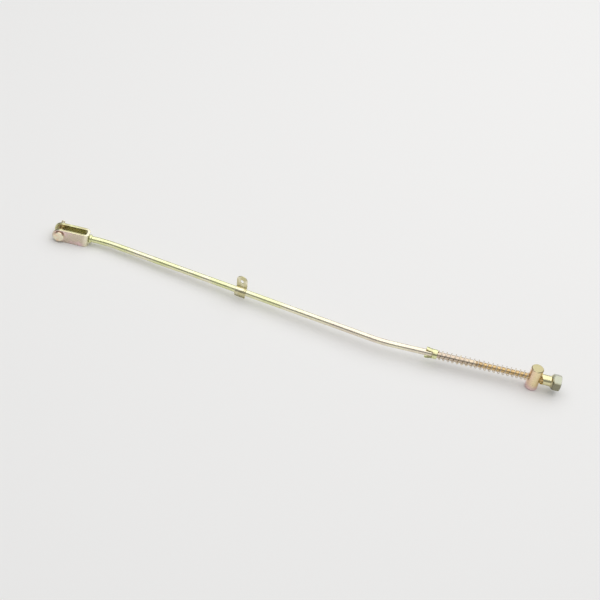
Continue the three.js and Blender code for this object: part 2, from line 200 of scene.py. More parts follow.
class SpringSizes(bpy.types.PropertyGroup):
    wire_radius: length("Wire radius", "Radius of the wire", 0.0005)
    turns: IntProperty(name="Turns", description="Number of turns", default=20, min=4, max=60)
    end_turns: FloatProperty(
        name="End turns", description="Turns at each end over which the pitch closes", default=2.0,
    )
    end_pitch: FloatProperty(
        name="End pitch", description="Pitch at the ends, as a share of the middle pitch",
        default=0.75, min=0.1, max=1.0, subtype="FACTOR",
    )


class SeatSizes(bpy.types.PropertyGroup):
    bore: length("Bore", "Radius of the hole", 0.0033)
    collar_length: length("Collar length", "Length of the collar", 0.0046)
    ear_width: length("Ear width", "Width of each of the two ears", 0.0044)
    ear_thickness: length("Ear thickness", "Thickness of each ear", 0.0013)
    edge: length("Edge", "Rounding of the edges", 0.0003)


class BarrelSizes(bpy.types.PropertyGroup):
    chamfer: length("Chamfer", "Chamfer at both ends", 0.0007)
    bore: length("Bore", "Radius of the cross hole", 0.0033)
    bore_chamfer: length("Bore chamfer", "Chamfer of the cross hole", 0.0003)


class NutSizes(bpy.types.PropertyGroup):
    sleeve_radius: length("Sleeve radius", "Radius of the sleeve", 0.005)
    sleeve_length: length("Sleeve length", "Length of the sleeve", 0.0092)
    shoulder_radius: length("Shoulder radius", "Radius of the shoulder", 0.0065)
    shoulder_length: length("Shoulder length", "Length of the shoulder", 0.0018)
    across_flats: length("Across flats", "Width of the hexagon across its flats", 0.014)
    face_radius: length("Face radius", "Radius of the round face that the chamfers leave", 0.0068)
    hex_chamfer: length("Chamfer", "Length of the hexagon's turned chamfers", 0.0009)
    saddle_depth: length("Saddle depth", "Depth of the groove across the nose", 0.002)
    saddle_gap: length("Saddle gap", "How much larger the groove is than the barrel", 0.0003)
    bore: length("Bore", "Radius of the hole round the rod", 0.0033)
    edge: length("Edge", "Rounding of the nose", 0.00025)


class FinishColours(bpy.types.PropertyGroup):
    green: colour("Green", "Yellow-green plating", (0.78, 0.80, 0.44))
    pale: colour("Pale", "Nearly colourless plating", (0.88, 0.83, 0.63))
    silver: colour("Silver", "Colourless plating on the rod's right end", (0.78, 0.68, 0.57))
    wire: colour("Wire", "Colourless plating on the spring", (0.74, 0.67, 0.57))
    gold: colour("Gold", "Golden plating", (0.88, 0.64, 0.30))
    sand: colour("Sand", "Sandy plating", (0.86, 0.72, 0.44))
    straw: colour("Straw", "Greenish-yellow plating on the nut's sleeve", (0.76, 0.70, 0.42))
    pink: colour("Pink", "Pink plating", (0.92, 0.68, 0.50))
    lilac: colour("Lilac", "Lilac plating", (0.84, 0.62, 0.62))
    taupe: colour("Taupe", "Pinkish grey plating on the fork's near cheek", (0.66, 0.57, 0.45))
    olive: colour("Olive", "Olive plating", (0.62, 0.57, 0.33))
    # Painted shade: the shadow of the spring's coils on the rod, as a darker tint.
    umber: colour("Umber", "Dark plating under the spring", (0.60, 0.49, 0.38))
    bronze: colour("Bronze", "Golden-brown plating on the thread", (0.86, 0.71, 0.47))
    grey: colour("Grey", "Grey-green plating on the nut", (0.46, 0.47, 0.37))
    # Partly painted shade: an olive plating hue, darkened so that the barrel's top face looks less lit.
    olive_top_and_shade: colour("Moss", "Dark olive plating on the barrel's top", (0.47, 0.42, 0.24))
    # Painted shade: the dark reflection of the shadowed floor in the nut's lower near facets.
    painted_nut_shade: colour("Soot", "Dark plating on the nut's near side", (0.27, 0.26, 0.18))


class StageSettings(bpy.types.PropertyGroup):
    floor: colour("Floor", "Colour of the floor", (0.865, 0.855, 0.84))
    floor_size: length("Floor size", "Side of the floor", 12.0)
    azimuth: angle("Azimuth", "Camera's place round the part, from straight in front", 2.5)
    elevation: angle("Elevation", "Camera's height above the horizon", 40)
    roll: angle("Roll", "How far the picture is turned clockwise", 14.8)
    distance: length("Distance", "From the camera to what it looks at", 1.419)
    target: FloatVectorProperty(
        name="Target", description="What the camera looks at", size=3, subtype="TRANSLATION",
        unit="LENGTH", precision=5, default=(-0.00505, 0.0065, 0.008),
    )
    focal_length: FloatProperty(
        name="Focal length", description="Focal length in millimetres", default=90.0,
    )
    ambient: FloatProperty(
        name="Ambient", description="Strength of the light from all round", default=0.3,
    )
    softbox_power: FloatProperty(
        name="Softbox power", description="Power of the light overhead, in watts", default=48.0,
    )
    softbox_width: length("Softbox width", "Along the rod", 3.0)
    softbox_depth: length("Softbox depth", "Across the rod", 4.2)
    softbox_place: FloatVectorProperty(
        name="Softbox place", description="Where the light hangs", size=3, subtype="TRANSLATION",
        unit="LENGTH", default=(0.2, 0.3, 1.6),
    )


SETTINGS = {
    "bar": RodSizes,
    "fork": ForkSizes,
    "pin": PinSizes,
    "tab": TabSizes,
    "spring": SpringSizes,
    "seat": SeatSizes,
    "barrel": BarrelSizes,
    "nut": NutSizes,
    "finish": FinishColours,
    "stage": StageSettings,
}
PREFIX = "brake_rod_"


def settings(context, name):
    """One of the property groups that are kept on the scene."""
    return getattr(context.scene, PREFIX + name)


# Surfaces

def grid_quads(rows, columns, closed):
    """Corner numbers of the quads between neighbouring rows and neighbouring columns of a grid.
    The last column meets the first one if the grid is closed."""
    row = np.arange(rows - 1)[:, None] * columns
    here = np.arange(columns if closed else columns - 1)[None, :]
    beside = (here + 1) % columns
    corners = [row + here, row + beside, row + beside + columns, row + here + columns]
    return np.stack(corners, axis=-1).reshape(-1, 4)


def welded_mesh(name, grids):
    """A closed mesh from grids, each an array of rows by columns by 3 and whether it is closed.
    Points at one place become one vertex, so a row that shrinks to a point becomes a pole and a
    quad with a repeated corner becomes a triangle or nothing."""
    points = np.concatenate([grid.reshape(-1, 3) for grid, _ in grids])
    starts = np.cumsum([0] + [grid.shape[0] * grid.shape[1] for grid, _ in grids])
    quads = np.concatenate([
        grid_quads(grid.shape[0], grid.shape[1], closed) + start
        for (grid, closed), start in zip(grids, starts)
    ])
    keys = np.round(points / WELD).astype(np.int64)
    _, first, number = np.unique(keys, axis=0, return_index=True, return_inverse=True)
    corners = number.reshape(-1)[quads]
    kept = corners != np.roll(corners, -1, axis=1)
    sides = kept.sum(axis=1)
    whole = sides > 2
    corners, kept, sides = corners[whole], kept[whole], sides[whole]

    mesh = bpy.data.meshes.new(name)
    mesh.vertices.add(len(first))
    mesh.vertices.foreach_set("co", points[first].astype(np.float32).ravel())
    mesh.loops.add(int(sides.sum()))
    mesh.loops.foreach_set("vertex_index", corners[kept].astype(np.int32))
    mesh.polygons.add(len(sides))
    mesh.polygons.foreach_set("loop_start", (np.cumsum(sides) - sides).astype(np.int32))
    mesh.update(calc_edges=True)
    mesh.validate()
    shell = bmesh.new()
    shell.from_mesh(mesh)
    bmesh.ops.recalc_face_normals(shell, faces=shell.faces)
    shell.to_mesh(mesh)
    shell.free()
    return mesh


def add_piece(name, grids, material, body, node):
    """One object at the origin that stands for a CAD node and rides on its body."""
    mesh = welded_mesh(name, grids)
    mesh.shade_smooth()
    mesh.set_sharp_from_angle(angle=SHARP_ANGLE)
    mesh.materials.append(material)
    piece = bpy.data.objects.new(name, mesh)
    bpy.context.scene.collection.objects.link(piece)
    weighted = piece.modifiers.new("Even shading", "WEIGHTED_NORMAL")
    weighted.keep_sharp = True
    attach(piece, body)
    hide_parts(node)
    return piece


def pairs(first, second):
    """Pairs of numbers from two arrays that fit each other."""
    return np.stack(np.broadcast_arrays(first, second), axis=-1)


def circle(bearings, first, second):
    """Directions cos * first + sin * second."""
    return np.cos(bearings)[:, None] * first + np.sin(bearings)[:, None] * second


def starts_of(pieces):
    """Distances at which the pieces (length, curvature) of a line start, and where it ends."""
    return np.cumsum([0] + [size for size, _ in pieces])


def stepped(stops, counts):
    """Places from the first stop to the last, with that many even points on each stretch."""
    stretches = [np.linspace(*stretch)[:-1] for stretch in zip(stops[:-1], stops[1:], counts)]
    return np.concatenate([*stretches, stops[-1:]])


def rounded_outline(corners):
    """A line through corners of (along, out, rounding). Each corner is cut by an arc that touches
    both of its sides: its centre lies on their bisector, at rounding / sin(half their angle)."""
    corners = np.array(corners, float)
    places = corners[:, :2]
    line = [places[:1]]
    for before, here, after, rounding in zip(places[:-2], places[1:-1], places[2:], corners[1:-1, 2]):
        if rounding == 0:
            line.append(here[None])
            continue
        back = (before - here) / np.linalg.norm(before - here)
        ahead = (after - here) / np.linalg.norm(after - here)
        half = np.arccos(np.clip(back @ ahead, -1, 1)) / 2
        centre = here + (back + ahead) / np.linalg.norm(back + ahead) * rounding / np.sin(half)
        first = here + back * rounding / np.tan(half) - centre
        last = here + ahead * rounding / np.tan(half) - centre
        start = np.arctan2(first[1], first[0])
        turn = (np.arctan2(last[1], last[0]) - start + np.pi) % (2 * np.pi) - np.pi
        bearing = start + turn * np.linspace(0, 1, ARC_POINTS)
        line.append(centre + rounding * pairs(np.cos(bearing), np.sin(bearing)))
    line.append(places[-1:])
    return np.concatenate(line)


def full_turn(sides):
    """Angles of a whole turn, with the last one left out."""
    return np.arange(sides) * 2 * np.pi / sides


def turned(outline, bearings, centre, axes):
    """A surface of revolution: centre + a * axes[0] + out * (cos * axes[1] + sin * axes[2]), where
    outline holds the pairs (a, out) and bearings the angles. Its columns close."""
    a, out = outline[:, 0, None, None], outline[:, 1, None, None]
    return centre + a * axes[0] + out * circle(bearings, axes[1], axes[2]), True


def line_of_arcs(distance, pieces):
    """Places and headings along a flat line of straights and arcs, each (length, curvature).
    Along an arc the heading grows by curvature * distance, and the place by the change in
    (sin heading, -cos heading) / curvature. The line starts at (0, 0) along the first axis, and its
    first and last pieces run on past their ends."""
    distance = np.asarray(distance, float)
    place = np.zeros(distance.shape + (2,))
    bearing = np.zeros(distance.shape)
    start, heading = 0.0, 0.0
    for index, (size, curvature) in enumerate(pieces):
        lowest = -np.inf if index == 0 else 0
        highest = np.inf if index == len(pieces) - 1 else size
        inside = np.clip(distance - start, lowest, highest)
        turned_to = heading + curvature * inside
        if curvature == 0:
            place += inside[..., None] * np.array([np.cos(heading), np.sin(heading)])
        else:
            place[..., 0] += (np.sin(turned_to) - np.sin(heading)) / curvature
            place[..., 1] -= (np.cos(turned_to) - np.cos(heading)) / curvature
        bearing += turned_to - heading
        heading += curvature * size
        start += size
    return place, bearing


def between(inner, outer, rows):
    """Rows of points from an inner line to an outer one, by equal steps between their points."""
    share = np.linspace(0, 1, rows)
    return inner + share[:, None, None] * (outer - inner)


def strip_skin(patches, rims, thickness, edge, bend):
    """The closed skin of a strip with rounded edges. patches are grids of places on the flat strip,
    drawn in by the edge's rounding, and stand at half the thickness above and below it. rims are
    lines on the flat strip with their outward directions: from each the skin goes out by a quarter
    circle, down and back by another. bend turns places on the flat strip and heights above it into
    places in space."""
    half = thickness / 2
    grids = []
    for flat, closed in patches:
        for height in (-half, half):
            grids.append((bend(flat, np.full(flat.shape[:2], height)), closed))
    reach = edge * np.sin(QUARTER)
    drop = half - edge * (1 - np.cos(QUARTER))
    reach = np.concatenate([reach, reach[::-1]])[:, None, None]
    height = np.concatenate([drop, -drop[::-1]])[:, None]
    for line, outward, closed in rims:
        flat = line + reach * outward
        grids.append((bend(flat, np.broadcast_to(height, flat.shape[:2])), closed))
    return grids


# Rod

class RodLine:
    """The rod's centre line. It lies in a plane that holds X and is tilted about it, so that both
    ends lie along X at their own heights."""

    def __init__(self, sizes):
        slope = np.arctan2(sizes.offset, sizes.middle)
        trim = sizes.bend_radius * np.tan(slope / 2)
        arc = sizes.bend_radius * slope
        middle = np.hypot(sizes.offset, sizes.middle) - 2 * trim
        turn = 1 / sizes.bend_radius
        self.pieces = [
            (sizes.bend_start - trim, 0), (arc, -turn), (middle, 0), (arc, turn), (trim, 0),
        ]
        self.starts = starts_of(self.pieces)
        self.left_corner = self.starts[2] - trim
        tilt = np.arcsin((BARREL_MIDDLE[2] - PIN_AXIS[2]) / sizes.offset)
        self.side = np.array([0, np.cos(tilt), -np.sin(tilt)])
        self.up = np.cross(X, self.side)
        self.saved = self.starts[4] - (self.at(self.starts[4])[0][0] - PIN_AXIS[0])

    def at(self, distance):
        """Places in the row frame, and the directions along the rod and to its left."""
        flat, heading = line_of_arcs(distance, self.pieces)
        place = PIN_AXIS + flat[..., :1] * X + flat[..., 1:] * self.side
        cosine, sine = np.cos(heading)[..., None], np.sin(heading)[..., None]
        return place, cosine * X + sine * self.side, cosine * self.side - sine * X

    def distance_at(self, x):
        """Distance along the line of a place on its right end."""
        return x - PIN_AXIS[0] + self.saved


FLANK = 1.25  # how steeply a thread's groove deepens, in depths for each half pitch
CREST = 0.15  # how much of that goes to the flat crest


def screw_groove(along, bearing):
    """Share of a thread's depth: a triangle wave of turns along it less turns round it, with a flat
    crest and a flat root."""
    wave = (along - bearing / (2 * np.pi)) % 1
    return np.clip(FLANK * (1 - np.abs(2 * wave - 1)) - CREST, 0, 1)


def rod_surface(sizes, fork):
    """A ring carried along the centre line: radius * (cos * left + sin * up) round each place. The
    radius follows the riveted head, neck and collar, then the bar, and on the thread it is less by
    the thread's groove."""
    line = RodLine(sizes)
    fork_back = FORK_HIGH[0] - PIN_AXIS[0]
    fork_front = fork_back - fork.thickness
    rivet_start = ROD_LOW[0] - PIN_AXIS[0]
    rivet_end = fork_front - sizes.collar_gap
    collar = fork_back + sizes.collar_gap
    collar_end = collar + sizes.collar_length
    sharp, soft, dome = 0.0001, 0.0005, 0.0011
    fork_end = rounded_outline([
        (rivet_start, 0, 0),
        (rivet_start, sizes.rivet_radius, dome),
        (rivet_end, sizes.rivet_radius, sharp),
        (rivet_end, sizes.neck_radius, sharp),
        (collar, sizes.neck_radius, sharp),
        (collar, sizes.collar_radius, soft),
        (collar_end, sizes.collar_radius, soft),
        (collar_end, sizes.radius, soft),
        (line.starts[1], sizes.radius, 0),
    ])
    tip = line.distance_at(ROD_HIGH[0])
    thread_start = line.distance_at(SEAT_HIGH[0]) + sizes.thread_start
    stretches = [*line.starts[1:5], thread_start]
    plain = stepped(stretches, [STRETCH_POINTS] * (len(stretches) - 1))[1:]
    rows = int((tip - thread_start) / sizes.thread_pitch * THREAD_ROWS)
    screw = np.linspace(thread_start, tip, rows)[1:]
    distance = np.concatenate([fork_end[:, 0], plain, screw, [tip]])
    radius = np.concatenate([fork_end[:, 1], np.full(len(plain) + len(screw), sizes.radius), [0]])

    bearings = full_turn(ROD_SIDES)
    groove = screw_groove((distance[:, None] - thread_start) / sizes.thread_pitch, bearings)
    run_in = 1.5 * sizes.thread_pitch
    fade = np.clip((distance - thread_start) / run_in, 0, 1)[:, None]
    into_tip = np.clip(distance - (tip - sizes.tip_chamfer), 0, None)[:, None]
    ring = np.minimum(radius[:, None] - sizes.thread_depth * fade * groove, sizes.radius - into_tip)
    ring[:len(fork_end)] = fork_end[:, 1:]
    ring[-1] = 0
    place, _, left = line.at(distance)
    around = circle(bearings, left[:, None], line.up)
    return [(place[:, None] + ring[..., None] * around, True)]


# Fork

def fork_surface(sizes):
    """A flat strip with round ends, folded to a U. Distance along it is measured from the middle of
    its back. The fold turns it by distance / radius, up to a quarter turn each way."""
    fold = sizes.inner_radius + sizes.thickness / 2
    back_x = FORK_HIGH[0] - sizes.thickness / 2
    back_half = FORK_HIGH[1] - FORK_MIDDLE[1] - sizes.thickness / 2 - fold
    cheek_start = back_half + fold * np.pi / 2
    pin_place = cheek_start + back_x - fold - PIN_AXIS[0]
    half = (FORK_HIGH[2] - FORK_LOW[2]) / 2 - sizes.edge

    def bend(flat, height):
        along, across = flat[..., 0], flat[..., 1]
        reach = np.abs(along)
        turn = np.clip((reach - back_half) / fold, 0, np.pi / 2)
        x = back_x - fold + (fold + height) * np.cos(turn) - np.clip(reach - cheek_start, 0, None)
        y = np.sign(along) * (np.minimum(reach, back_half) + (fold + height) * np.sin(turn))
        return np.stack([x, FORK_MIDDLE[1] + y, FORK_MIDDLE[2] + across], axis=-1)

    quarter = FORK_COLUMNS // 4
    bearings = np.arange(FORK_COLUMNS + 1) * 2 * np.pi / FORK_COLUMNS - np.pi / 4
    ray = pairs(np.cos(bearings), np.sin(bearings))
    square = half * ray / np.abs(ray).max(axis=-1, keepdims=True)
    towards_back = ray[:, :1] > 1e-9
    end_outline = np.where(towards_back, square, half * ray)
    end_outward = np.where(towards_back, pairs(0, np.sign(ray[:, 1])), ray)
    end_outward[-1] = (0, -1)
    across = square[:quarter + 1, 1]
    patches, rims = [], []
    for hand in (-1, 1):
        flip = np.array([-hand, 1])
        middle = np.array([hand * pin_place, 0])
        hole = (sizes.pin_hole + sizes.edge) * ray[:-1]
        patches.append((middle + flip * between(hole, end_outline[:-1], HOLE_ROWS), True))
        rims.append((middle + flip * hole, -flip * ray[:-1], True))
        rims.append((middle + flip * end_outline[quarter:], flip * end_outward[quarter:], False))
        along = hand * np.concatenate([
            np.linspace(half, cheek_start, 8), np.linspace(cheek_start, pin_place - half, 6)[1:],
        ])
        cheek = pairs(along[:, None], across)
        patches.append((cheek, False))
        for column, side in ((0, -1), (-1, 1)):
            rims.append((cheek[:, column], np.full((len(along), 2), (0, side)), False))
    hole = (sizes.neck_hole + sizes.edge) * ray[:-1]
    patches.append((between(hole, square[:-1], BACK_ROWS), True))
    rims.append((hole, -ray[:-1], True))
    for start, side in ((quarter, 1), (3 * quarter, -1)):
        edge_line = square[start:start + quarter + 1]
        rims.append((edge_line, np.full(edge_line.shape, (0, side)), False))
    return strip_skin(patches, rims, sizes.thickness, sizes.edge, bend)


# Round bars with a hole across them

def cross_drilled(radius, low_outline, high_outline, hole_radius, hole_chamfer, centre, axes):
    """A round bar about axes[0] with a hole along axes[1] through centre. The outlines are pairs
    (along, out) that run from the low pole to the wall and from the wall to the high pole. Each half
    of the wall is a sheet unrolled to (radius * angle, along), with rows from the hole's edge to the
    sheet's border. On it the edge of a hole of radius h is (radius * asin(h cos / radius), h sin)."""
    low, high = low_outline[-1, 0], high_outline[0, 0]
    quarter_turn = radius * np.pi / 2
    marks = np.cumsum([0, SHEET_SIDES, SHEET_TOPS, SHEET_SIDES, SHEET_TOPS])
    corner_x = np.array([1, 1, -1, -1, 1]) * quarter_turn
    corner_y = np.array([low, high, high, low, low])
    index = np.arange(marks[-1])
    border = pairs(np.interp(index, marks, corner_x), np.interp(index, marks, corner_y))
    corner_bearings = np.unwrap(np.arctan2(corner_y, corner_x))
    bearings = np.interp(index, marks, corner_bearings)
    cosine, sine = np.cos(bearings), np.sin(bearings)

    def hole_edge(hole):
        return pairs(radius * np.arcsin(hole * cosine / radius), hole * sine)

    def place(across, beside, along):
        return centre + along * axes[0] + across * axes[1] + beside * axes[2]

    outer_edge = hole_radius + hole_chamfer
    sheet = between(hole_edge(outer_edge), border, SHEET_ROWS)
    round_it = sheet[..., :1] / radius
    grids = []
    for hand in (-1, 1):
        wall = place(hand * radius * np.cos(round_it), radius * np.sin(round_it), sheet[..., 1:])
        grids.append((wall, True))

    def ring(hole, hand, depth):
        beside = hole * cosine
        across = hand * (np.sqrt(radius ** 2 - beside ** 2) - depth)
        return place(across[:, None], beside[:, None], (hole * sine)[:, None])

    bore = np.stack([
        ring(outer_edge, 1, 0),
        ring(hole_radius, 1, hole_chamfer),
        ring(hole_radius, -1, hole_chamfer),
        ring(outer_edge, -1, 0),
    ])
    grids.append((bore, True))
    for outline in (low_outline, high_outline):
        grids.append(turned(outline, full_turn(2 * SHEET_TOPS), centre, axes))
    return grids


def barrel_surface(sizes):
    """A short round bar on end, with a rounded chamfer at both ends and a cross hole for the rod."""
    half = (BARREL_HIGH[2] - BARREL_LOW[2]) / 2
    chamfer = sizes.chamfer
    soft = chamfer / 3
    high = rounded_outline([
        (half - 2 * chamfer, BARREL_RADIUS, 0),
        (half - chamfer, BARREL_RADIUS, soft),
        (half, BARREL_RADIUS - chamfer, soft),
        (half, 0, 0),
    ])
    low = high[::-1] * (-1, 1)
    return cross_drilled(
        BARREL_RADIUS, low, high, sizes.bore, sizes.bore_chamfer, BARREL_MIDDLE, (Z, X, Y),
    )


def pin_surface(sizes):
    """A headed pin along Y with a cross hole near its tail."""
    centre = np.array([PIN_AXIS[0], PIN_HIGH[1] - sizes.inset, PIN_AXIS[2]])
    head_radius = (PIN_HIGH[0] - PIN_LOW[0]) / 2
    head_end = PIN_LOW[1] - centre[1]
    head_face = head_end + sizes.head_length
    tail_end = PIN_HIGH[1] - centre[1]
    hole_chamfer = sizes.edge / 6
    wall = 1.3 * (sizes.cross_hole + hole_chamfer)  # half the length of the wall round the hole
    low = rounded_outline([
        (head_end, 0, 0),
        (head_end, head_radius, sizes.edge),
        (head_face, head_radius, sizes.edge / 3),
        (head_face, sizes.radius, 0),
        (-wall, sizes.radius, 0),
    ])
    high = rounded_outline([
        (wall, sizes.radius, 0),
        (tail_end, sizes.radius, sizes.edge),
        (tail_end, 0, 0),
    ])
    return cross_drilled(
        sizes.radius, low, high, sizes.cross_hole, hole_chamfer, centre, (Y, Z, X),
    )


# Split pin

WIRE_FILL = 0.97  # how much of its half of the doubled wire each half-round fills
WIRE_SLACK = 0.02  # its distance from the middle, as a share of the wire's radius


def split_pin_surface(sizes):
    """A half-round wire carried along a flat line in the XZ plane: a leg, a bend up through the pin,
    an eye, and down again to the other leg. The wire's flat side is on the line's right."""
    eye = sizes.eye_radius - sizes.wire_radius
    flare = np.arccos(sizes.eye_flare / (sizes.eye_flare + eye))
    eye_rise = (sizes.eye_flare + eye) * np.sin(flare)
    shank = sizes.eye_height - eye_rise + sizes.leg_depth - sizes.leg_bend
    leg = sizes.leg_reach - sizes.leg_bend
    bend, open_up, around = 1 / sizes.leg_bend, 1 / sizes.eye_flare, -1 / eye
    half_line = [
        (leg, 0), (sizes.leg_bend * np.pi / 2, bend), (shank, 0), (sizes.eye_flare * flare, open_up),
    ]
    pieces = half_line + [(eye * (np.pi + 2 * flare), around)] + half_line[::-1]
    counts = [33 if curvature == around else 9 for _, curvature in pieces]
    distance = stepped(starts_of(pieces), counts)
    distance = np.concatenate([distance[:1], distance, distance[-1:]])
    flat, heading = line_of_arcs(distance, pieces)
    start = np.array([PIN_AXIS[0] - sizes.leg_reach, PIN_HIGH[1] - sizes.inset,
                      PIN_AXIS[2] - sizes.leg_depth])
    place = start + flat[:, :1] * X + flat[:, 1:] * Z
    left = np.cos(heading)[:, None] * Z - np.sin(heading)[:, None] * X
    half_round = np.linspace(-np.pi / 2, np.pi / 2, 13)
    out = np.concatenate([np.cos(half_round), np.zeros(3)])
    beside = np.concatenate([np.sin(half_round), [0.5, 0, -0.5]])
    size = np.full(len(distance), sizes.wire_radius * WIRE_FILL)
    size[[0, -1]] = 0
    size = size[:, None, None]
    section = out[:, None] * left[:, None] + beside[:, None] * Y
    slack = WIRE_SLACK * sizes.wire_radius
    middle = place + (slack + np.where(size[:, 0] == 0, sizes.wire_radius / 2, 0)) * left
    return [(middle[:, None] + size * section, True)]


# Switch tab

def tab_surface(sizes, rod):
    """A strip whose tongue stands up beside the rod's crest, folds over it, wraps round the rod's
    near side and ends in a lip. Its section is a line of arcs, and the tongue's top is a cubic curve
    that rises to three quarters of its controls' height."""
    line = RodLine(rod)
    origin, along, left = line.at(line.left_corner + sizes.place)
    half_thick = sizes.thickness / 2
    wrap_radius = rod.radius + sizes.gap + half_thick
    fold = half_thick + sizes.fold
    fold_top = wrap_radius + fold
    straight = sizes.height - fold_top
    quarter = fold * np.pi / 2
    pieces = [
        (straight, 0), (quarter, -1 / fold), (wrap_radius * sizes.wrap, 1 / wrap_radius),
        (quarter, -1 / fold), (half_thick + sizes.lip - fold, 0),
    ]
    total = sum(size for size, _ in pieces)
    lean_start = wrap_radius + half_thick

    def bend(flat, height):
        section, heading = line_of_arcs(flat[..., 0], pieces)
        beside = fold + section[..., 1] + height * np.cos(heading)
        upward = sizes.height - section[..., 0] + height * np.sin(heading)
        lean = np.tan(sizes.slant) * np.clip(sizes.height - flat[..., 0] - lean_start, 0, None)
        across = flat[..., 1] - lean
        return (origin + across[..., None] * along + beside[..., None] * left
                + upward[..., None] * line.up)

    half = sizes.width / 2 - sizes.edge
    shoulder = sizes.height - sizes.top_rise
    seam = fold_top + (sizes.hole_height - sizes.hole_radius - fold_top) / 3
    tops, sides, bottoms = 32, 8, 16
    marks = np.cumsum([0, tops, sides, bottoms, sides])
    index = np.arange(marks[-1])
    share = np.clip(index / tops, 0, 1)
    rest = 1 - share
    control = shoulder + (4 / 3) * (sizes.top_rise - sizes.edge)
    curve_x = half * (rest ** 3 + 3 * rest ** 2 * share - 3 * rest * share ** 2 - share ** 3)
    curve_y = shoulder + (control - shoulder) * 3 * rest * share
    slope_x = -6 * half * rest * share
    slope_y = (control - shoulder) * 3 * (1 - 2 * share)
    steep = np.hypot(slope_x, slope_y)
    on_top = index <= tops
    across = np.where(on_top, curve_x, np.interp(index, marks[1:], [-half, -half, half, half]))
    height = np.where(on_top, curve_y, np.interp(index, marks[1:], [shoulder, seam, seam, shoulder]))
    outward_x = np.where(on_top, slope_y / steep, np.sign(across))
    outward_y = np.where(on_top, -slope_x / steep, 0)
    border = pairs(sizes.height - height, across)
    outward = pairs(-outward_y, outward_x)
    upper = np.arctan2(shoulder - sizes.hole_height, half)
    lower = np.arctan2(sizes.hole_height - seam, half)
    bearings = np.interp(
        index, marks, [upper, np.pi - upper, np.pi + lower, 2 * np.pi - lower, 2 * np.pi + upper],
    )
    ray = pairs(-np.sin(bearings), np.cos(bearings))
    hole = np.array([sizes.height - sizes.hole_height, 0]) + (sizes.hole_radius + sizes.edge) * ray
    patches = [(between(hole, border, HOLE_ROWS), True)]
    free = np.roll(np.arange(marks[-1]), sides)[:tops + 2 * sides + 1]
    rims = [(hole, -ray, True), (border[free], outward[free], False)]

    stops = [sizes.height - seam, *starts_of(pieces)[1:-1], total - sizes.edge]
    counts = (4, 9, 33, 9, 4)  # points on the tongue's foot, the fold, the wrap, the fold and the lip
    lengthwise = stepped(stops, counts)
    body = pairs(lengthwise[:, None], np.linspace(-half, half, bottoms + 1))
    patches.append((body, False))
    right_corner = pairs(np.sin(QUARTER), np.cos(QUARTER))
    left_corner = right_corner[::-1] * (1, -1)
    rim_line = np.concatenate([
        body[:-1, -1], np.repeat(body[-1:, -1], ARC_POINTS, axis=0), body[-1, -2:0:-1],
        np.repeat(body[-1:, 0], ARC_POINTS, axis=0), body[-2::-1, 0],
    ])
    rim_outward = np.concatenate([
        np.full((len(body) - 1, 2), (0, 1)), right_corner, np.full((bottoms - 1, 2), (1, 0)),
        left_corner, np.full((len(body) - 1, 2), (0, -1)),
    ])
    rims.append((rim_line, rim_outward, False))
    return strip_skin(patches, rims, sizes.thickness, sizes.edge, bend)


# Spring seat

def seat_surface(sizes):
    """A tube whose edge towards the bend reaches further at its top and bottom, as two ears. The
    reach is that of a squared ellipse of the angle from an ear's middle. An ear stands further out
    towards its tip."""
    radius = (SEAT_HIGH[1] - SEAT_LOW[1]) / 2
    tip_radius = (SEAT_HIGH[2] - SEAT_LOW[2]) / 2
    collar_start = SEAT_HIGH[0] - sizes.collar_length
    ear_length = collar_start - SEAT_LOW[0]
    ear_half = np.arcsin(sizes.ear_width / 2 / radius)
    ear = ear_half * np.sin(np.linspace(-np.pi / 2, np.pi / 2, 25))
    side = np.linspace(ear_half, np.pi - ear_half, 15)[1:-1]
    half_turn = np.concatenate([ear, side])
    bearings = np.concatenate([half_turn, half_turn + np.pi])
    from_ear = np.concatenate([ear / ear_half, np.full(len(side), 1)] * 2)
    reach = np.sqrt(np.clip(1 - from_ear ** 6, 0, 1)) * ear_length
    start = collar_start - reach

    rows = 13
    share = np.linspace(0, 1, rows)[:, None]
    face = SEAT_HIGH[0] - sizes.edge
    along = face + share * (start + sizes.edge - face)
    flare = np.clip((collar_start - along) / ear_length, 0, 1)
    outer = radius + (tip_radius - radius) * flare
    thinned = np.clip(flare * 8, 0, 1)  # full at an eighth of the ear's length
    inner = np.maximum(sizes.bore, outer - sizes.ear_thickness * thinned
                       - (radius - sizes.bore) * (1 - thinned))
    quarter = QUARTER[:, None]
    out, drop = sizes.edge * np.sin(quarter), sizes.edge * (1 - np.cos(quarter))
    face_along = np.broadcast_to(face + out[::-1], (ARC_POINTS, len(bearings)))
    places = np.concatenate([
        face_along, along, along[-1] - out, (along[-1] - out)[::-1], along[::-1], face_along[::-1],
    ])
    radii = np.concatenate([
        outer[:1] - drop[::-1], outer, outer[-1] - drop, (inner[-1] + drop)[::-1], inner[::-1],
        inner[:1] + drop,
    ])
    places = np.concatenate([places, places[:1]])
    radii = np.concatenate([radii, radii[:1]])
    around = circle(bearings, Z, Y)
    return [(RIGHT_AXIS + places[..., None] * X + radii[..., None] * around, True)]


# Spring

